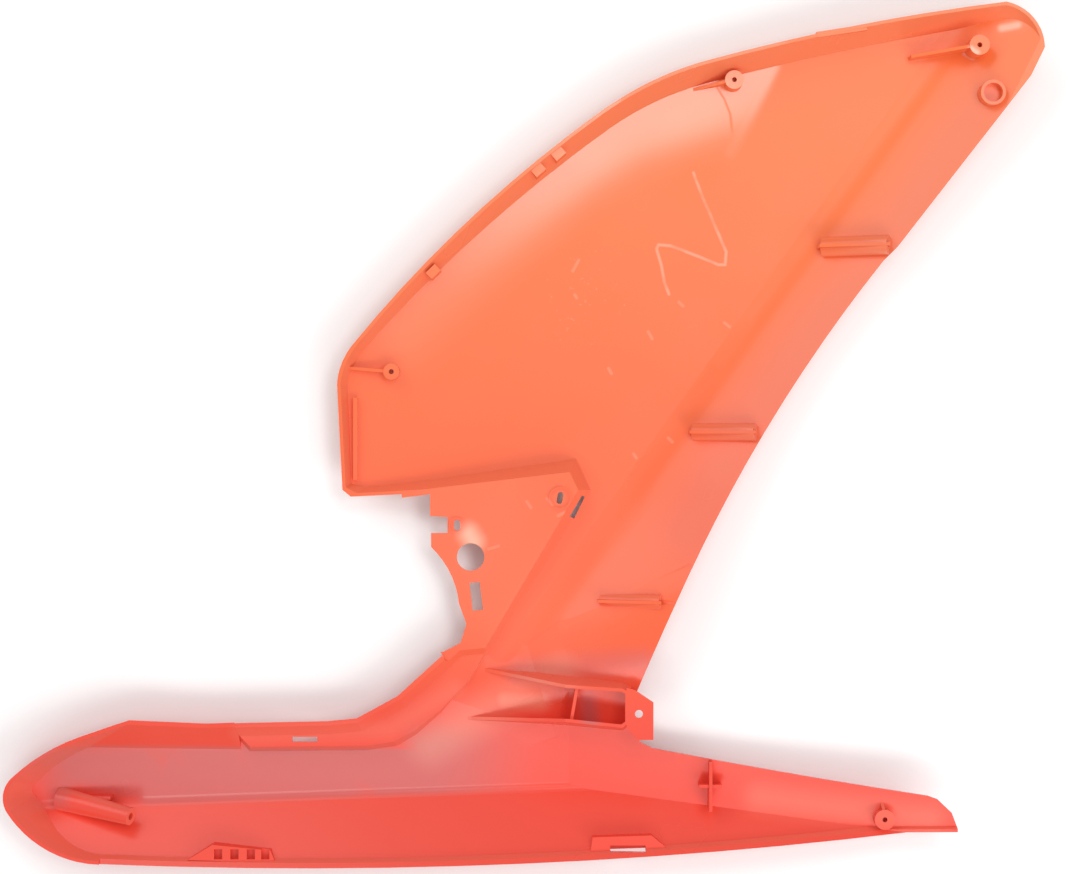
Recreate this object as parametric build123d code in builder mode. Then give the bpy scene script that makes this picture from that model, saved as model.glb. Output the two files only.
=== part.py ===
from build123d import *
from math import cos, radians, sin, tan
import os

os.makedirs("parts", exist_ok=True)

# driving sizes, mm and degrees
wall = 2.5
rim_draft = 22.0
lip_draft = 45.0
wing_rim_height = 32.0
top_corner_height = 42.0
nose_rim_height = 38.0
web_height = 32.0
ledge_height = 27.0
lip_height = 35.0
bottom_rim = 3.5
wing_turn = 54.5
wing_bow_radius = 3000.0
wing_crown_radius = 2200.0
front_roll_radius = 70.0
front_roll_angle = 25.0
keel_turn = 2.0
upper_flank_angle = 15.6
lower_flank_angle = 35.0
keel_radius = 12.0
saddle_turn = 17.4
tail_rise = 0.14
bracket_height = 48.0
bracket_draft = 12.0
rib = 2.5
screw_hole = 4.0
lock_hole = 22.0
tab_hole = 6.4

wing_low = Vector(154.6, 130.5, 0)
keel_point = Vector(30, -284, 0)
along_wing = Vector(cos(radians(wing_turn)), sin(radians(wing_turn)), 0)
across_wing = Vector(sin(radians(wing_turn)), -cos(radians(wing_turn)), 0)
along_keel = Vector(cos(radians(keel_turn)), sin(radians(keel_turn)), 0)
up_from_keel = Vector(-sin(radians(keel_turn)), cos(radians(keel_turn)), 0)
flank_rise = tan(radians(upper_flank_angle))


def wing_space(inset):
    bow_centre = wing_low + Vector(0, 0, wing_bow_radius)
    half_arc = 10.5
    back = -along_wing * cos(radians(half_arc)) + Vector(0, 0, sin(radians(half_arc)))
    start = Plane(origin=bow_centre, x_dir=across_wing, z_dir=back)
    top = 190 - wing_bow_radius
    centre = Vector(0, wing_crown_radius - wing_bow_radius)
    crown_points = [
        centre + Vector(0, inset - wing_crown_radius).rotate(Axis.Z, turn) for turn in (-9, 0, 1)
    ]
    with BuildPart() as space:
        with BuildSketch(start):
            with BuildLine():
                crown = ThreePointArc(crown_points)
                roll = JernArc(crown @ 1, crown % 1, front_roll_radius - inset, front_roll_angle)
                band = Line(roll @ 1, (roll @ 1) + (roll % 1) * 160)
                Polyline(band @ 1, ((band @ 1).X, top), ((crown @ 0).X, top), crown @ 0)
            make_face()
        revolve(axis=Axis(bow_centre, across_wing), revolution_arc=2 * half_arc)
    return space.part


def sill_space(inset):
    across = Plane(origin=keel_point, x_dir=up_from_keel, z_dir=along_keel)
    tail_normal = Vector(-tail_rise, -flank_rise, 1)
    tail_plane = Plane(origin=keel_point + Vector(9, 0, 0), z_dir=tail_normal)
    with BuildPart() as space:
        with BuildSketch(across) as cut:
            with BuildSketch(mode=Mode.PRIVATE) as face:
                Polygon(
                    (0, 0),
                    (280, 280 * flank_rise),
                    (280, 190),
                    (-110, 190),
                    (-110, 110 * tan(radians(lower_flank_angle))),
                    align=None,
                )
                keel = face.vertices().sort_by(Axis.Y)[0]
                fillet(keel, keel_radius)
            add(offset(face.sketch, amount=-inset) if inset else face.sketch)
        extrude(amount=480, both=True)
        with Locations(tail_plane.offset(inset)):
            Box(1400, 1400, 400, align=(Align.CENTER, Align.CENTER, Align.MIN), mode=Mode.INTERSECT)
    return space.part


saddle_start = Vector(-60, -200, 0)
along_saddle = Vector(cos(radians(saddle_turn)), sin(radians(saddle_turn)), 0)
across_saddle = Vector(-sin(radians(saddle_turn)), cos(radians(saddle_turn)), 0)
saddle_stations = [
    (-90, 60, 30, 220, 2.5, 14.6),
    (35, 4.2, 21.6, 180, 4.2, 14.6),
    (72, -11, 21.2, 130, 7, 13.6),
    (100, -15.3, 24.9, 115, 15, 12.3),
    (215, -14.7, 50.2, 110, 23, 12.3),
]


def saddle_space(inset):
    with BuildPart() as space:
        for along, across, crest, radius, neck_angle, sill_angle in saddle_stations:
            foot = saddle_start + along_saddle * along + across_saddle * across
            with BuildSketch(Plane(origin=foot, x_dir=across_saddle, z_dir=along_saddle)):
                with BuildLine():
                    dome = CenterArc(
                        (0, crest - radius), radius + inset, 90 - neck_angle, neck_angle + sill_angle
                    )
                    neck_side = Line(dome @ 0, (dome @ 0) - (dome % 0) * 8)
                    sill_side = Line(dome @ 1, (dome @ 1) + (dome % 1) * 25)
                    left, right = (sill_side @ 1).X, (neck_side @ 1).X
                    Polyline(neck_side @ 1, (right, 190), (left, 190), sill_side @ 1)
                make_face()
        loft(ruled=True)
    return space.part


def skin_space(inset):
    with BuildPart() as space:
        add(wing_space(inset))
        add(sill_space(inset))
        add(saddle_space(inset))
    return space.part


def wing_outline():
    with BuildSketch() as sketch:
        with BuildLine():
            start = (384.7, 342.1)
            top = TangentArc(start, (147.9, 299.6), tangent=(-cos(radians(6)), -sin(radians(6))))
            shoulder = TangentArc(top @ 1, (62.9, 259.9), tangent=top % 1)
            slope = TangentArc(shoulder @ 1, (-135.4, 73.3), tangent=shoulder % 1)
            left = TangentArc(slope @ 1, (-147.3, 41.4), tangent=slope % 1)
            low = Polyline(
                left @ 1,
                (-143, -42.7),
                (-137, -48.4),
                (-82, -45.8),
                (411.8, 12.8),
                (411.8, 308),
            )
            TangentArc(low @ 1, start, tangent=low % 1)
        make_face()
    return sketch.sketch


def neck_outline():
    with BuildSketch() as sketch:
        Polygon(
            (180, 192.6),
            (-46, -190.9),
            (-69, -214.8),
            (-89, -230.5),
            (-103, -238),
            (-124, -241),
            (-290, -243),
            (-290, -285),
            (470, -285),
            (470, 192.6),
            align=None,
        )
    return sketch.sketch


def sill_outline():
    with BuildSketch() as sketch:
        with BuildLine():
            top = Polyline((470, -226), (-306.3, -224.6), (-350, -239.8))
            nose = TangentArc(top @ 1, (-403.3, -272), tangent=top % 1)
            tip = TangentArc(nose @ 1, (-406.4, -297.9), tangent=nose % 1)
            chin = TangentArc(tip @ 1, (-333.4, -338), tangent=tip % 1)
            bottom = ThreePointArc(chin @ 1, (31, -332.2), (470, -297.2))
            Line(bottom @ 1, top @ 0)
        make_face()
    return sketch.sketch


def sill_step_outline():
    with BuildSketch() as sketch:
        Polygon(
            (-480, -400),
            (470, -400),
            (470, -250),
            (-213, -243),
            (-274.4, -180.2),
            (-480, -180.2),
            align=None,
        )
    return sketch.sketch


def web_corner_outline():
    with BuildSketch() as sketch:
        Polygon((21.7, -0.2), (49.2, -58), (100, -58), (100, -0.2), align=None)
    return sketch.sketch


def pocket(outline):
    with BuildPart() as space:
        for height, lean in ((34, -rim_draft), (-46, rim_draft)):
            with BuildSketch(Plane.XY.offset(34)):
                add(outline)
            extrude(amount=height, taper=lean)
    return space.part


with BuildPart() as rim_form:
    add(pocket(sill_outline()))
    add(pocket(sill_step_outline()), mode=Mode.INTERSECT)
    add(pocket(neck_outline()))
    add(pocket(wing_outline()))
    add(pocket(web_corner_outline()))


def rim_space(inset):
    return rim_form.part.moved(Location((0, 0, inset / sin(radians(rim_draft)))))


def plan_space():
    with BuildPart() as space:
        with BuildSketch(Plane.XY.offset(-20)):
            with BuildLine():
                front = Polyline((-180, 400), (460, 400), (460, 359), (300.5, 151.8), (289.4, 140.7))
                neck = ThreePointArc(front @ 1, (184.5, -12.7), (92.7, -202))
                joint = Polyline(neck @ 1, (90.6, -223.1), (95.4, -244.7), (105.1, -249.5))
                tail = ThreePointArc(joint @ 1, (214.7, -268.2), (322.4, -284.2))
                low = Polyline(
                    tail @ 1,
                    (330, -286.9),
                    (341.4, -297.7),
                    (346.2, -309.5),
                    (346.2, -420),
                    (-460, -420),
                    (-460, -180),
                    (-62.1, -171.3),
                    (-48.1, -164.1),
                    (-43.4, -149),
                    (-49.3, -133),
                )
                arch = ThreePointArc(low @ 1, (-56.8, -107.5), (-71.6, -87.6))
                Polyline(
                    arch @ 1,
                    (-71.6, -76.5),
                    (-58.5, -76.5),
                    (-58.5, -63.7),
                    (-72.4, -63),
                    (-72.4, -45.5),
                    (-83, -47),
                    (-180, -58),
                    (-180, 400),
                )
            make_face()
        extrude(amount=120)
    return space.part


def ledge_space(inset):
    shift = inset * tan(radians(lip_draft / 2))
    with BuildPart() as space:
        with BuildSketch(Plane.XY.offset(ledge_height - wall + inset)):
            with BuildSketch(mode=Mode.PRIVATE) as foot:
                Polygon(
                    (-47.3, -173.9),
                    (-92.2, -214.8),
                    (-127.5, -234),
                    (-153.1, -236.4),
                    (-225.2, -238),
                    (-225.2, -262),
                    (-120, -262),
                    (-60, -228),
                    (-22, -185),
                    (-28, -172),
                    align=None,
                )
            add(offset(foot.sketch, amount=-shift, kind=Kind.INTERSECTION) if inset else foot.sketch)
        extrude(amount=40, taper=-lip_draft)
    return space.part


def web_space(inset):
    with BuildPart() as space:
        with BuildSketch(Plane.XY.offset(web_height - wall + inset)):
            Polygon(
                (-95, -47.4),
                (-95, -34),
                (62, -18),
                (62, -36),
                (-26, -178),
                (-60, -178),
                (-95, -120),
                align=None,
            )
        extrude(amount=60)
    return space.part


def lean_wedge(inset):
    lift = inset / cos(radians(lip_draft))
    across = Plane(origin=(-420, -228, 34 + lift), x_dir=(0, 1, 0), z_dir=(1, 0, 0))
    with BuildPart() as wedge:
        with BuildSketch(across):
            Polygon((12, 12), (-50, -50), (12, -50), align=None)
        extrude(amount=420 - 228 + inset)
    return wedge.part


def rim_trim():
    with BuildPart(mode=Mode.PRIVATE) as low_edge:
        add(sill_space(wall + bottom_rim))
        with Locations((60, -360, 70)):
            Box(790, 120, 160, mode=Mode.INTERSECT)
    with BuildPart() as trim:
        with BuildSketch(Plane.XZ.offset(-400)):
            Polygon(
                (-200, wing_rim_height),
                (80, wing_rim_height),
                (414, top_corner_height),
                (460, top_corner_height),
                (460, 140),
                (-200, 140),
                align=None,
            )
        extrude(amount=460)
        with Locations((275, -30, 70)):
            Box(370, 100, 141, mode=Mode.SUBTRACT)
        with BuildSketch(Plane.XZ.offset(60)):
            Polygon(
                (-460, nose_rim_height),
                (-330, nose_rim_height),
                (-250, nose_rim_height - 4),
                (-225, lip_height),
                (-20, lip_height),
                (-20, 140),
                (-460, 140),
                align=None,
            )
        extrude(amount=240)
        with Locations((-395, -360, nose_rim_height)):
            Box(130, 122, 100, align=(Align.CENTER, Align.CENTER, Align.MIN))
        add(low_edge.part)
    return trim.part


def shell():
    with BuildPart() as body:
        add(rim_space(0))
        add(skin_space(0), mode=Mode.INTERSECT)
        add(lean_wedge(0), mode=Mode.SUBTRACT)
        add(ledge_space(0))
        add(web_space(0))
        add(plan_space(), mode=Mode.INTERSECT)
        for low_side in (wing_space(wall), sill_space(wall), saddle_space(wall)):
            with BuildPart(mode=Mode.PRIVATE) as hollow:
                add(rim_space(wall))
                add(low_side, mode=Mode.INTERSECT)
                add(lean_wedge(wall), mode=Mode.SUBTRACT)
            add(hollow.part, mode=Mode.SUBTRACT)
        add(ledge_space(wall), mode=Mode.SUBTRACT)
        add(web_space(wall), mode=Mode.SUBTRACT)
        add(rim_trim(), mode=Mode.SUBTRACT)
    return body.part


def tower(x, y, top, radius, turn, reach, fall):
    side = Plane(
        origin=(x, y, 0),
        x_dir=(cos(radians(turn)), sin(radians(turn)), 0),
        z_dir=(sin(radians(turn)), -cos(radians(turn)), 0),
    )
    with BuildPart() as post:
        with Locations((x, y, 0)):
            Cylinder(radius, top, align=(Align.CENTER, Align.CENTER, Align.MIN))
        with BuildSketch(side):
            Polygon((0, 0), (reach, 0), (reach, top - fall), (radius, top - 1), (0, top - 1), align=None)
        extrude(amount=rib / 2, both=True)
    return post.part


def tilted(x, y, z, turn, rise):
    toward = Vector(
        cos(radians(rise)) * cos(radians(turn)),
        cos(radians(rise)) * sin(radians(turn)),
        sin(radians(rise)),
    )
    return Plane(origin=(x, y, z), x_dir=(-sin(radians(turn)), cos(radians(turn)), 0), z_dir=toward)


tower_places = [
    (171, 286.5, 22, 7.5, 190, 34, 16),
    (364, 311, 40, 8, 187, 52, 16),
    (-103.6, 52.2, 28, 6.5, 175, 36, 3),
    (288.4, -303.2, 42, 8, 96, 20, 16),
]
fin_places = [(293, 153.3, 32, 54, 8), (187, 4, 31, 52, 7), (111, -130.8, 42, 50, 6)]
fin_rise = 24.0
ring_places = [(-50.9, -70.3, 6.5), (31.1, -48.6, 9)]
ring_height = 1.5
nose_screw = tilted(-312, -303.4, 26, -10, 20)
fin_screws = [tilted(x, y, z, 0, fin_rise) for x, y, z, reach, radius in fin_places]


def fin(place, screw):
    x, y, z, reach, radius = place
    with BuildPart() as post:
        with BuildSketch(screw):
            Circle(radius)
        extrude(amount=-reach)
        with BuildSketch(Plane.XZ.offset(-y - rib / 2)):
            Polygon((x, z), (x, z + radius), (x - reach, z - 8), (x - reach, 0), (x, 0), align=None)
        extrude(amount=rib)
    return post.part


def bracket_outline():
    with BuildSketch() as sketch:
        Polygon(
            (-38, -221),
            (37, -225),
            (80, -229.5),
            (85, -226),
            (85, -201),
            (80, -198.5),
            (43.4, -196),
            (-30, -190),
            (-44, -206),
            align=None,
        )
    return sketch.sketch


def bracket_space(inset):
    drop = inset / sin(radians(bracket_draft))
    with BuildPart() as space:
        for height, lean in ((drop + 1, bracket_draft), (drop - bracket_height, -bracket_draft)):
            with BuildSketch(Plane.XY.offset(bracket_height - drop)):
                add(bracket_outline())
            extrude(amount=height, taper=lean)
    return space.part


def bracket():
    with BuildPart() as frame:
        add(bracket_space(0))
        add(bracket_space(wall), mode=Mode.SUBTRACT)
        with Locations((0, -200, bracket_height)):
            Box(400, 200, 40, align=(Align.CENTER, Align.CENTER, Align.MIN), mode=Mode.SUBTRACT)
        with BuildSketch(Plane.XZ.offset(170)):
            Polygon(
                (-80, bracket_height - 28),
                (-40, bracket_height - 28),
                (35, bracket_height),
                (120, bracket_height),
                (120, bracket_height + 70),
                (-80, bracket_height + 70),
                align=None,
            )
        extrude(amount=100, mode=Mode.SUBTRACT)
        with BuildSketch(Plane.XY.offset(8)):
            Polygon((43.5, -197), (46, -197), (41, -226), (38.5, -226), align=None)
        extrude(amount=bracket_height - 12)
        with BuildSketch(Plane.XY.offset(bracket_height - wall)):
            Polygon(
                (83.5, -198),
                (90, -199.6),
                (104.7, -209.5),
                (104.7, -239.1),
                (92.5, -239.1),
                (83.5, -229.9),
                align=None,
            )
        extrude(amount=wall)
    return frame.part


def fittings():
    with BuildPart() as extra:
        for place in tower_places:
            add(tower(*place))
        for place, screw in zip(fin_places, fin_screws):
            add(fin(place, screw))
        with Locations((373.9, 272.8, 0)):
            Cylinder(10, 44, align=(Align.CENTER, Align.CENTER, Align.MIN))
        with BuildSketch(nose_screw):
            Circle(7)
        extrude(amount=-66, taper=-2.5)
        with BuildSketch(Plane.XZ.offset(289)):
            Polygon((-352, 0), (-330, 0), (-330, 18), (-352, 13), align=None)
        extrude(amount=rib)
        with Locations((151, -273, 0), (151, -284, 0)):
            Box(rib, 28, 36, align=(Align.CENTER, Align.CENTER, Align.MIN))
        with Locations((151, -278, 0)):
            Box(18, rib, 34, align=(Align.CENTER, Align.CENTER, Align.MIN))
        with Locations((-132.5, -1.5, 0)):
            Box(3.5, 66, 26, align=(Align.CENTER, Align.CENTER, Align.MIN))
        for x, y, turn in ((-70, 132, 44), (30, 226, 40), (14, 213, 42), (-396, -262, 30), (-368, -245, 28)):
            with Locations(Location((x, y, 0), (0, 0, turn))):
                Box(10, 7, 31, align=(Align.CENTER, Align.CENTER, Align.MIN))
        with BuildSketch():
            Polygon((-265, -336), (-245, -324), (-199, -328.5), (-195, -338), align=None)
            Polygon((54.7, -334), (57, -318), (103.7, -316.5), (118, -328), (118, -330), align=None)
        extrude(amount=37)
        add(bracket())
    return extra.part


def holes():
    with BuildPart() as cut:
        for x, y, top, radius, turn, reach, fall in tower_places:
            with Locations((x, y, top - 8)):
                Cylinder(screw_hole / 2, 20, align=(Align.CENTER, Align.CENTER, Align.MIN))
        for screw in fin_screws:
            with Locations(screw.offset(-12)):
                Cylinder(screw_hole / 2, 24, align=(Align.CENTER, Align.CENTER, Align.MIN))
        with Locations(nose_screw.offset(-14)):
            Cylinder(screw_hole / 2 + 1, 28, align=(Align.CENTER, Align.CENTER, Align.MIN))
        with Locations((373.9, 272.8, 36)):
            Cylinder(7.5, 20, align=(Align.CENTER, Align.CENTER, Align.MIN))
        with Locations((-40.1, -95.6, web_height)):
            Cylinder(lock_hole / 2, 20)
        with Locations((93.3, -218.6, bracket_height)):
            Cylinder(tab_hole / 2, 20)
        with BuildSketch(Plane.XY.offset(web_height - 10)):
            with Locations(Location((-35.6, -127, 0), (0, 0, 7))):
                Rectangle(8.2, 22.4)
            with Locations(Location((-50.9, -70.3, 0), (0, 0, 90))):
                SlotOverall(8.5, 5)
            with Locations(Location((31.1, -48.6, 0), (0, 0, 80))):
                SlotOverall(9.5, 4.5)
        extrude(amount=20)
        with Locations((-172.7, -241.6, ledge_height)):
            Box(20, 4, 20)
        with Locations(Location((45, -56, 12), (0, 0, 64))):
            Box(19.5, 4.5, 14)
        for x in (-240.5, -227.5, -214.5, -203):
            with Locations((x, -331.5, 38)):
                Box(6.5, 8, 14)
        with Locations((85, -327, 38)):
            Box(28, 5, 12)
    return cut.part


with BuildPart() as moulding:
    add(shell())
    with BuildPart(mode=Mode.PRIVATE) as inner_side:
        add(fittings())
        add(skin_space(wall / 2), mode=Mode.INTERSECT)
        add(rim_space(wall / 2), mode=Mode.INTERSECT)
    add(inner_side.solids())
    with BuildSketch(Plane.XY.offset(web_height)):
        for x, y, radius in ring_places:
            with Locations((x, y)):
                Circle(radius)
                Circle(radius - rib / 2, mode=Mode.SUBTRACT)
    extrude(amount=ring_height)
    with Locations(Location((255, 322.6, wing_rim_height - 4), (0, 0, 8.7))):
        Box(40, 4.5, 9, align=(Align.CENTER, Align.CENTER, Align.MIN))
    add(holes(), mode=Mode.SUBTRACT)

with BuildPart() as front_side_panel:
    box = moulding.part.bounding_box()
    with Locations((-box.center().X, -box.center().Y, -box.min.Z)):
        add(moulding.part)

front_side_panel.part.label = "front_side_panel"
export_step(front_side_panel.part, "parts/front_side_panel.step")
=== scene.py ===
import bpy
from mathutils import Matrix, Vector

mm = 0.001

print("stage: frame")
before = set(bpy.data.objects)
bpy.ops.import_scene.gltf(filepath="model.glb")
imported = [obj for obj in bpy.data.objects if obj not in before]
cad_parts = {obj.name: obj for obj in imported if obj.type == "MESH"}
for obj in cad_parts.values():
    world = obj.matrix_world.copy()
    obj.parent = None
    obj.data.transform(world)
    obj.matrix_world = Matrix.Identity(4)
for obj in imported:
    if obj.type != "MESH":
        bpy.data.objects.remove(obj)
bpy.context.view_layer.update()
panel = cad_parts["front_side_panel"]

# the camera looks straight down; a pixel of the photograph is "scale" mm at "scaleLevel"
cameraLook = {
    "centre": (13.36, -1.73),
    "height": 1700,
    "scale": 0.8,
    "scaleLevel": 25,
    "photoWidth": 1080,
    "photoCentre": (540, 437),
}


def addCamera():
    look = cameraLook
    data = bpy.data.cameras.new("camera")
    width = look["scale"] * look["photoWidth"]
    data.lens = data.sensor_width * (look["height"] - look["scaleLevel"]) / width
    camera = bpy.data.objects.new("camera", data)
    bpy.context.collection.objects.link(camera)
    camera.location = (look["centre"][0] * mm, look["centre"][1] * mm, look["height"] * mm)
    bpy.context.scene.camera = camera


# where a pixel of the photograph lies on the panel, at a height above the floor in mm
def photoPoint(px, py, level):
    look = cameraLook
    reach = look["scale"] * (look["height"] - level) / (look["height"] - look["scaleLevel"])
    x = look["centre"][0] + (px - look["photoCentre"][0]) * reach
    y = look["centre"][1] - (py - look["photoCentre"][1]) * reach
    return Vector((x * mm, y * mm, 0))


def photoColumns(columns, level):
    return [photoPoint(px, 0, level).x for px in columns]


def newMaterial(name):
    material = bpy.data.materials.new(name)
    material.use_nodes = True
    material.node_tree.nodes.clear()
    return material, material.node_tree


def feed(tree, socket, value):
    if isinstance(value, bpy.types.NodeSocket):
        tree.links.new(value, socket)
    else:
        socket.default_value = value


def mathNode(tree, operation, *values):
    node = tree.nodes.new("ShaderNodeMath")
    node.operation = operation
    for socket, value in zip(node.inputs, values):
        feed(tree, socket, value)
    return node.outputs[0]


def product(tree, first, *others):
    result = first
    for other in others:
        result = mathNode(tree, "MULTIPLY", result, other)
    return result


# value * scale + base
def scaledSum(tree, value, scale, base):
    return mathNode(tree, "MULTIPLY_ADD", value, scale, base)


def vectorNode(tree, operation, *values):
    node = tree.nodes.new("ShaderNodeVectorMath")
    node.operation = operation
    for socket, value in zip(node.inputs, values):
        feed(tree, socket, value)
    return node.outputs["Value"] if operation in ("DOT_PRODUCT", "LENGTH") else node.outputs[0]


def scaledVector(tree, vector, share):
    node = tree.nodes.new("ShaderNodeVectorMath")
    node.operation = "SCALE"
    node.inputs[0].default_value = vector
    tree.links.new(share, node.inputs["Scale"])
    return node.outputs[0]


def smoothStep(tree, value, low, high):
    ramp = tree.nodes.new("ShaderNodeMapRange")
    ramp.interpolation_type = "SMOOTHSTEP"
    ramp.inputs["From Min"].default_value = low
    ramp.inputs["From Max"].default_value = high
    tree.links.new(value, ramp.inputs["Value"])
    return ramp.outputs["Result"]


def smoothStepMm(tree, value, low, high):
    return smoothStep(tree, value, low * mm, high * mm)


def noise(tree, coordinates, size, detail):
    texture = tree.nodes.new("ShaderNodeTexNoise")
    texture.inputs["Scale"].default_value = 1 / (size * mm)
    texture.inputs["Detail"].default_value = detail
    tree.links.new(coordinates, texture.inputs["Vector"])
    return texture.outputs[0]


def mixColour(tree, share, first, second):
    mix = tree.nodes.new("ShaderNodeMix")
    mix.data_type = "RGBA"  # its colour sockets are the inputs 6 and 7
    for socket, value in ((mix.inputs[0], share), (mix.inputs[6], first), (mix.inputs[7], second)):
        feed(tree, socket, value)
    return mix.outputs[2]


def segmentDistance(tree, flat, start, end):
    run = end - start
    offset = vectorNode(tree, "SUBTRACT", flat, start)
    share = vectorNode(tree, "DOT_PRODUCT", offset, run / run.length_squared)
    clamp = tree.nodes.new("ShaderNodeClamp")
    tree.links.new(share, clamp.inputs[0])
    rest = vectorNode(tree, "SUBTRACT", offset, scaledVector(tree, run, clamp.outputs[0]))
    return vectorNode(tree, "LENGTH", rest)


# 1 on lines of the photograph's pixels, falling to 0 at halfWidth in mm
def lineMask(tree, flat, lines, halfWidth, level):
    nearest = None
    for line in lines:
        points = [photoPoint(px, py, level) for px, py in line]
        for start, end in zip(points, points[1:]):
            distance = segmentDistance(tree, flat, start, end)
            nearest = distance if nearest is None else mathNode(tree, "MINIMUM", nearest, distance)
    return smoothStepMm(tree, nearest, halfWidth, 0.0)


# distance to the right of a straight line that is drawn on the photograph
def rightOf(tree, flat, line, level):
    start, end = [photoPoint(px, py, level) for px, py in (line[0], line[-1])]
    right = Vector((end.y - start.y, start.x - end.x, 0)).normalized()
    return vectorNode(tree, "DOT_PRODUCT", vectorNode(tree, "SUBTRACT", flat, start), right)


# soft patches at one level, each with its line, half width in mm and share
def patchMask(tree, flat, patches, level):
    mask = None
    for line, halfWidth, share in patches:
        patch = product(tree, lineMask(tree, flat, [line], halfWidth, level), share)
        mask = patch if mask is None else mathNode(tree, "MAXIMUM", mask, patch)
    return mask


# the swelling of the wing beside its upper rim, the fold that ends it and the ridge past the fold, as tilted
# normals and gloss, with a painted reflection mixed into the colour over them and a painted highlight on the
# rim by the top corner;
# lines and columns are the photograph's pixels, widths are mm, "facing" is the normal's upward share
swellLook = {
    "level": 12,
    "line": [(395, 322), (440, 270), (500, 212), (560, 160), (620, 120), (680, 98), (775, 66)],
    "halfWidth": 62.0,
    "columns": (380, 620),
    "leastShare": 0.4,
    "foldLine": [(716, 84), (725, 98), (731, 113), (733, 130)],
    "foldHalfWidth": 1.8,
    "foldDepth": 0.8,
    # the second line is a painted highlight on the rim by the top corner
    "ridgeAndGlintLines": [[(772, 66), (752, 108), (731, 150)], [(998, 29), (1016, 27)]],
    "ridgeHalfWidth": 11.16,
    "ridgeFade": (-6, 4),
    "ridgeFoot": 4,
    "ridgeLeastShare": 0.2,
    "facing": (0.8, 0.95),
    "slope": (0.115, -0.065, 0.0),
    "gloss": 0.09,
    # share of painted reflection mixed into the colour over the swell and the ridge
    "paintedSheen": 0.22,
}


def swelling(tree, flat, along, height, upward):
    look = swellLook
    level = look["level"]
    ridgeLine = look["ridgeAndGlintLines"][0]
    beforeRidge = smoothStepMm(tree, rightOf(tree, flat, ridgeLine, level), *look["ridgeFade"])
    growth = smoothStep(tree, along, *photoColumns(look["columns"], level))
    fold = lineMask(tree, flat, [look["foldLine"]], look["foldHalfWidth"], level)
    swell = lineMask(tree, flat, [look["line"]], look["halfWidth"], level)
    swell = product(
        tree,
        swell,
        scaledSum(tree, growth, 1 - look["leastShare"], look["leastShare"]),
        scaledSum(tree, fold, -look["foldDepth"], 1.0),
        beforeRidge,
    )
    ridgeTop, ridgeEnd = [photoPoint(px, py, level).y for px, py in (ridgeLine[0], ridgeLine[-1])]
    rise = smoothStep(tree, height, ridgeEnd - look["ridgeFoot"] * mm, ridgeTop)
    ridge = lineMask(tree, flat, look["ridgeAndGlintLines"], look["ridgeHalfWidth"], level)
    ridge = product(tree, ridge, scaledSum(tree, rise, 1 - look["ridgeLeastShare"], look["ridgeLeastShare"]))
    both = mathNode(tree, "MAXIMUM", swell, ridge)
    return product(tree, both, smoothStep(tree, upward, *look["facing"]))


# painted shade and grey reflection on the sill, between its keel and the foot of its ledge, except round the
# nose's screw tube, and patches of it elsewhere:
# a painted shadow and reflection of the bracket on the neck, a painted reflection in the bracket's box and a
# painted grey reflection along the front band
shadeAndGreySheenLook = {
    "colour": (0.585, 0.137, 0.131, 1.0),
    "share": 0.82,
    "keelLevel": 2,
    "keelLine": [(560, 791), (110, 808)],
    "keelFade": (-1, 5),
    "farFade": (72, 40),
    "ledgeLevel": 26,
    "ledgeLine": [(100, 744), (400, 749)],
    "ledgeFade": (-1, 4),
    "ledgeEnd": (390, 425),
    "noseColumns": (14, 80),
    "neckColumns": (560, 430),
    "cloudSize": 45,
    "cloudDetail": 4,
    "cloudRange": (0.0, 0.45),
    "tubeLevel": 12,
    "tubeLine": [(78, 800), (128, 812)],
    "tubeHalfWidth": 18,
    "patchLevel": 20,
    "patches": [
        ([(520, 672), (590, 664), (640, 660)], 18, 0.6),
        ([(588, 700), (590, 718)], 13, 1.0),
        ([(975, 110), (905, 215), (850, 285), (780, 385), (725, 460), (690, 530)], 40, 0.24),
    ],
    "facing": (0.2, 0.36),
}


def shadeAndGreySheenMask(tree, coordinates, flat, along, upward):
    look = shadeAndGreySheenLook
    keelLevel = look["keelLevel"]
    aboveKeel = rightOf(tree, flat, look["keelLine"], keelLevel)
    belowLedge = rightOf(tree, flat, look["ledgeLine"], look["ledgeLevel"])
    pastLedge = smoothStep(tree, along, *photoColumns(look["ledgeEnd"], look["ledgeLevel"]))
    foot = mathNode(tree, "MAXIMUM", smoothStepMm(tree, belowLedge, *look["ledgeFade"]), pastLedge)
    foot = product(tree, foot, smoothStepMm(tree, aboveKeel, *look["farFade"]))
    ends = product(
        tree,
        smoothStep(tree, along, *photoColumns(look["noseColumns"], keelLevel)),
        smoothStep(tree, along, *photoColumns(look["neckColumns"], keelLevel)),
    )
    cloud = noise(tree, coordinates, look["cloudSize"], look["cloudDetail"])
    tube = lineMask(tree, flat, [look["tubeLine"]], look["tubeHalfWidth"], look["tubeLevel"])
    shadeAndGreySheen = product(
        tree,
        smoothStepMm(tree, aboveKeel, *look["keelFade"]),
        foot,
        ends,
        smoothStep(tree, cloud, *look["cloudRange"]),
        mathNode(tree, "SUBTRACT", 1.0, tube),
    )
    shadeAndGreySheen = mathNode(tree, "MAXIMUM", shadeAndGreySheen, patchMask(tree, flat, look["patches"], look["patchLevel"]))
    return product(tree, shadeAndGreySheen, smoothStep(tree, upward, *look["facing"]), look["share"])


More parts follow.
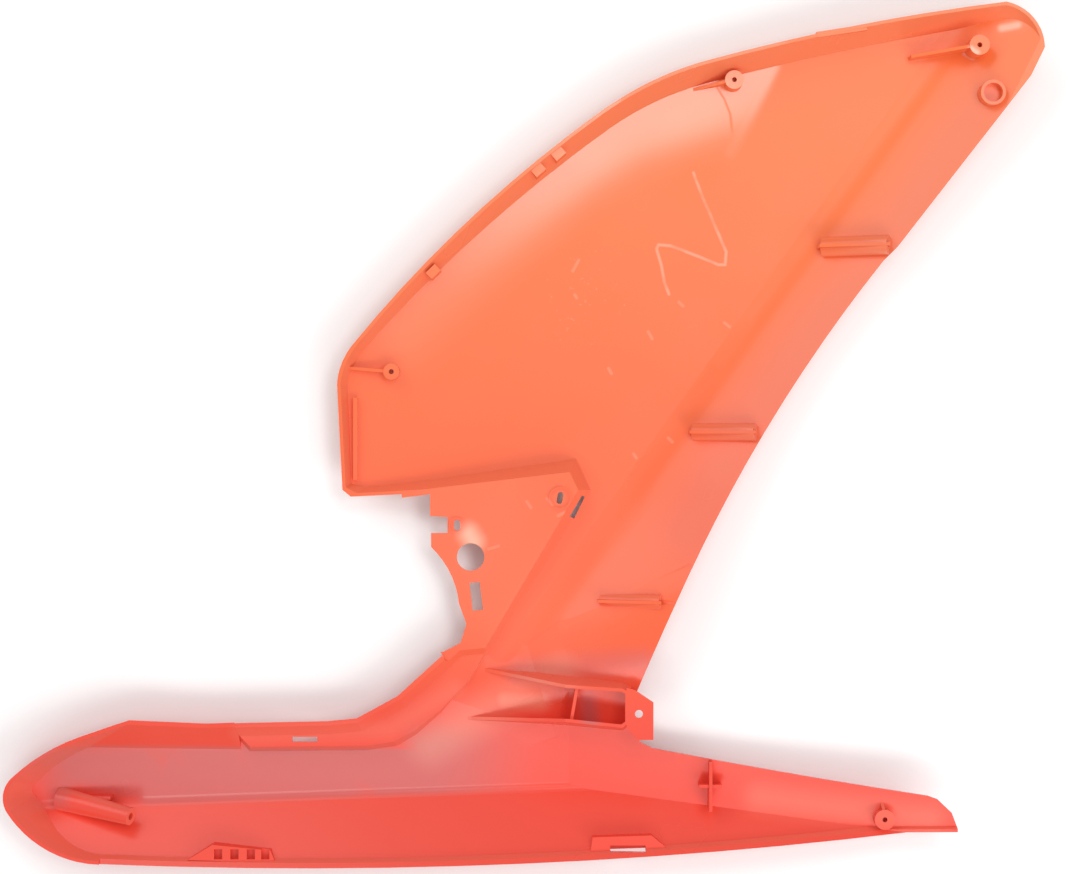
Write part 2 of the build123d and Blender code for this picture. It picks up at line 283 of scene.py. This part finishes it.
# painted reflections and highlights in soft pale patches and small glints, and a painted sheen on the steep
# walls that catch the light; the wear takes the same colour
sheenAndWearLook = {
    "colour": (0.96, 0.47, 0.33, 1.0),
    "level": 20,
    "patches": [
        ([(760, 797), (925, 816)], 22, 0.16),
        ([(430, 745), (505, 700), (560, 668)], 30, 0.22),
        ([(505, 700), (540, 700)], 16, 0.4),
        ([(469, 533), (474, 541)], 14, 0.9),
        ([(975, 110), (850, 285), (725, 460)], 40, 0.06),
        ([(620, 550), (545, 640)], 70, 0.08),
        ([(245, 733), (390, 728), (455, 690)], 16, 0.11),
        ([(1000, 30), (1014, 28)], 5, 1.0),
        ([(966, 53), (972, 57)], 4, 1.0),
    ],
    "facing": (0.4, 0.8),
    "steepShare": 0.2,
    "steepRise": (0.05, 0.3),
    "steepFall": (0.85, 0.5),
}


def paintedSheenMask(tree, flat, upward):
    look = sheenAndWearLook
    paintedSheen = patchMask(tree, flat, look["patches"], look["level"])
    paintedSheen = product(tree, paintedSheen, smoothStep(tree, upward, *look["facing"]))
    steep = product(
        tree,
        smoothStep(tree, upward, *look["steepRise"]),
        smoothStep(tree, upward, *look["steepFall"]),
    )
    return scaledSum(tree, steep, look["steepShare"], paintedSheen)


# the long hooked scratch, short marks on the wing, painted highlights as short dashes on the web, and scuffs
wearAndGlintLook = {
    "share": 0.6,
    "roughness": 0.2,
    "facing": (0.4, 0.8),
    "halfWidth": 1.9,
    "scratchLevel": 10,
    "scratch": [
        (694, 172), (704, 198), (718, 230), (727, 251), (726, 264), (719, 264), (700, 256),
        (671, 245), (659, 244), (657, 248), (662, 265), (665, 282), (669.5, 293.5),
    ],
    "breakSize": 14,
    "breakDetail": 3,
    "breakRange": (0.2, 0.6),
    "markLevel": 16,
    "marksAndGlints": [
        [(680, 301), (684, 305)],
        [(726, 322), (731, 326)],
        [(649, 331), (653, 338)],
        [(609, 368), (612, 373)],
        [(634, 454), (637, 458)],
        [(669, 438), (673, 442)],
        [(575, 294), (577, 297)],
        [(573, 270), (579, 259)],
        # the last four marks are painted highlights on the web by its holes
        [(527, 501), (531, 507)],
        [(547, 498), (552, 504)],
        [(489, 548), (499, 545)],
        [(558, 515), (564, 512)],
    ],
    "markShare": 0.45,
    "scuffLine": [(592, 305), (582, 285)],
    "scuffReach": 55,
    "scuffSize": 4.0,
    "scuffDetail": 2,
    "scuffRange": (0.62, 0.8),
    "scuffShare": 0.3,
}


def wearAndGlintMask(tree, coordinates, flat, upward):
    look = wearAndGlintLook
    scratchLevel = look["scratchLevel"]
    breaks = noise(tree, coordinates, look["breakSize"], look["breakDetail"])
    scratch = lineMask(tree, flat, [look["scratch"]], look["halfWidth"], scratchLevel)
    scratch = product(tree, scratch, smoothStep(tree, breaks, *look["breakRange"]))
    marksAndGlints = lineMask(tree, flat, look["marksAndGlints"], look["halfWidth"], look["markLevel"])
    marksAndGlints = product(tree, marksAndGlints, look["markShare"])
    scuffs = noise(tree, coordinates, look["scuffSize"], look["scuffDetail"])
    around = lineMask(tree, flat, [look["scuffLine"]], look["scuffReach"], scratchLevel)
    scuffs = product(tree, smoothStep(tree, scuffs, *look["scuffRange"]), around, look["scuffShare"])
    wearAndGlints = mathNode(tree, "MAXIMUM", mathNode(tree, "MAXIMUM", scratch, marksAndGlints), scuffs)
    return product(tree, wearAndGlints, smoothStep(tree, upward, *look["facing"]))


# the plastic with painted light: its colours at three heights of the panel in mm, painted shade darker and
# redder towards the bottom and painted light lighter and more orange towards the top, its gloss and its
# moulded peel
plasticAndLightLook = {
    "heights": (-244, -135, 260),
    "shadedLowColour": (0.86, 0.079, 0.048, 1.0),
    "colour": (0.92, 0.139, 0.051, 1.0),
    "litTopColour": (0.92, 0.196, 0.060, 1.0),
    "roughness": 0.22,
    "roughnessSpread": 0.08,
    "cloudSize": 60,
    "cloudDetail": 3,
    "peelSize": 2.2,
    "peelDetail": 1,
    "peelHeight": 0.012,
}


def colourWithPaintedLight(tree, height, shadeAndGreySheen, paintedSheen, wearAndGlints):
    look = plasticAndLightLook
    low, middle, high = look["heights"]
    # painted shade and light: darker and redder towards the bottom, lighter and more orange towards the top
    lowerFade = smoothStepMm(tree, height, low, middle)
    upperFade = smoothStepMm(tree, height, middle, high)
    colour = mixColour(tree, lowerFade, look["shadedLowColour"], look["colour"])
    colour = mixColour(tree, upperFade, colour, look["litTopColour"])
    # painted shade and grey reflection on the sill and in patches
    colour = mixColour(tree, shadeAndGreySheen, colour, shadeAndGreySheenLook["colour"])
    # painted reflections and highlights, and the painted sheen of the steep walls
    colour = mixColour(tree, paintedSheen, colour, sheenAndWearLook["colour"])
    # the wear, and the painted highlights on the web, in the pale colour
    return mixColour(tree, product(tree, wearAndGlints, wearAndGlintLook["share"]), colour, sheenAndWearLook["colour"])


def plasticRoughness(tree, coordinates, swell, wearAndGlints):
    look = plasticAndLightLook
    cloud = noise(tree, coordinates, look["cloudSize"], look["cloudDetail"])
    rough = scaledSum(tree, cloud, look["roughnessSpread"], look["roughness"])
    rough = scaledSum(tree, swell, -swellLook["gloss"], rough)
    return scaledSum(tree, wearAndGlints, wearAndGlintLook["roughness"], rough)


def plasticNormal(tree, coordinates, normal, swell):
    look = plasticAndLightLook
    tilted = vectorNode(tree, "ADD", normal, scaledVector(tree, swellLook["slope"], swell))
    peel = noise(tree, coordinates, look["peelSize"], look["peelDetail"])
    bump = tree.nodes.new("ShaderNodeBump")
    bump.inputs["Distance"].default_value = look["peelHeight"] * mm
    bump.inputs["Strength"].default_value = 1.0
    tree.links.new(peel, bump.inputs["Height"])
    tree.links.new(vectorNode(tree, "NORMALIZE", tilted), bump.inputs["Normal"])
    return bump.outputs[0]


def plasticMaterial():
    material, tree = newMaterial("red_plastic_with_painted_light")
    coordinates = tree.nodes.new("ShaderNodeTexCoord").outputs["Object"]
    normal = tree.nodes.new("ShaderNodeNewGeometry").outputs["Normal"]
    flat = vectorNode(tree, "MULTIPLY", coordinates, (1, 1, 0))
    along = vectorNode(tree, "DOT_PRODUCT", coordinates, (1, 0, 0))
    height = vectorNode(tree, "DOT_PRODUCT", coordinates, (0, 1, 0))
    upward = vectorNode(tree, "DOT_PRODUCT", normal, (0, 0, 1))
    swell = swelling(tree, flat, along, height, upward)
    shadeAndGreySheen = shadeAndGreySheenMask(tree, coordinates, flat, along, upward)
    # painted reflection over the swell and ridge, with the painted patches, glints and wall sheen
    paintedSheen = scaledSum(tree, swell, swellLook["paintedSheen"], paintedSheenMask(tree, flat, upward))
    wearAndGlints = wearAndGlintMask(tree, coordinates, flat, upward)
    shader = tree.nodes.new("ShaderNodeBsdfPrincipled")
    tree.links.new(colourWithPaintedLight(tree, height, shadeAndGreySheen, paintedSheen, wearAndGlints), shader.inputs["Base Color"])
    tree.links.new(plasticRoughness(tree, coordinates, swell, wearAndGlints), shader.inputs["Roughness"])
    tree.links.new(plasticNormal(tree, coordinates, normal, swell), shader.inputs["Normal"])
    output = tree.nodes.new("ShaderNodeOutputMaterial")
    tree.links.new(shader.outputs[0], output.inputs[0])
    return material


# white to the camera and in reflections, a little darker for the light that it throws back
floorLook = {"size": 8000, "seen": (1.0, 1.0, 1.0, 1.0), "bounce": (0.80, 0.80, 0.80, 1.0)}


def floorMaterial():
    material, tree = newMaterial("floor_paper")
    path = tree.nodes.new("ShaderNodeLightPath").outputs
    seen = mathNode(tree, "MAXIMUM", path["Is Glossy Ray"], path["Is Transmission Ray"])
    seen = mathNode(tree, "MAXIMUM", path["Is Camera Ray"], seen)
    shader = tree.nodes.new("ShaderNodeBsdfDiffuse")
    tree.links.new(mixColour(tree, seen, floorLook["bounce"], floorLook["seen"]), shader.inputs["Color"])
    output = tree.nodes.new("ShaderNodeOutputMaterial")
    tree.links.new(shader.outputs[0], output.inputs[0])
    return material


def addFloor():
    bpy.ops.object.select_all(action="DESELECT")
    bpy.ops.mesh.primitive_plane_add(size=floorLook["size"] * mm, location=(0, 0, 0))
    floor = bpy.context.active_object
    floor.name = "floor"
    floor.data.materials.append(floorMaterial())


# places, aims and sizes in mm, power in watts
worldLight = 0.43
lamps = {
    "overWing": {"place": (780, 130, 2100), "aim": (780, 130, 0), "size": (550, 500), "power": 6.2},
    "overTop": {"place": (600, 900, 2100), "aim": (600, 900, 0), "size": (1200, 600), "power": 8.1},
    "overWeb": {"place": (-100, -180, 2100), "aim": (-100, -180, 0), "size": (260, 260), "power": 1.1},
    "lowLeft": {"place": (-600, -1500, 2100), "aim": (-180, -250, 0), "size": (1200, 600), "power": 8.1},
    "lowRight": {"place": (700, -1600, 2050), "aim": (200, -250, 0), "size": (1200, 700), "power": 7.2},
    "farRight": {"place": (1300, -1300, 1543), "aim": (0, 0, 0), "size": (1500, 900), "power": 13.0},
    "farLeft": {"place": (-1300, 1300, 1543), "aim": (0, 0, 0), "size": (2200, 1400), "power": 15.8},
}


def addLamp(name, look):
    data = bpy.data.lights.new(name, "AREA")
    data.shape = "RECTANGLE"
    data.size = look["size"][0] * mm
    data.size_y = look["size"][1] * mm
    data.energy = look["power"]
    lamp = bpy.data.objects.new(name, data)
    bpy.context.collection.objects.link(lamp)
    lamp.location = Vector(look["place"]) * mm
    aim = Vector(look["aim"]) * mm
    lamp.rotation_euler = (aim - lamp.location).to_track_quat("-Z", "Y").to_euler()


def addLights():
    world = bpy.data.worlds.new("studio")
    world.use_nodes = True
    background = world.node_tree.nodes["Background"]
    background.inputs["Color"].default_value = (1, 1, 1, 1)
    background.inputs["Strength"].default_value = worldLight
    bpy.context.scene.world = world
    for name, look in lamps.items():
        addLamp(name, look)


print("stage: panel")
# the material holds painted light, shade, reflections and highlights in its colour
plastic = plasticMaterial()
for slot in panel.material_slots:
    slot.material = plastic

print("stage: floor, lights and camera")
addFloor()
addLights()
addCamera()
bpy.context.scene.view_settings.view_transform = "Standard"
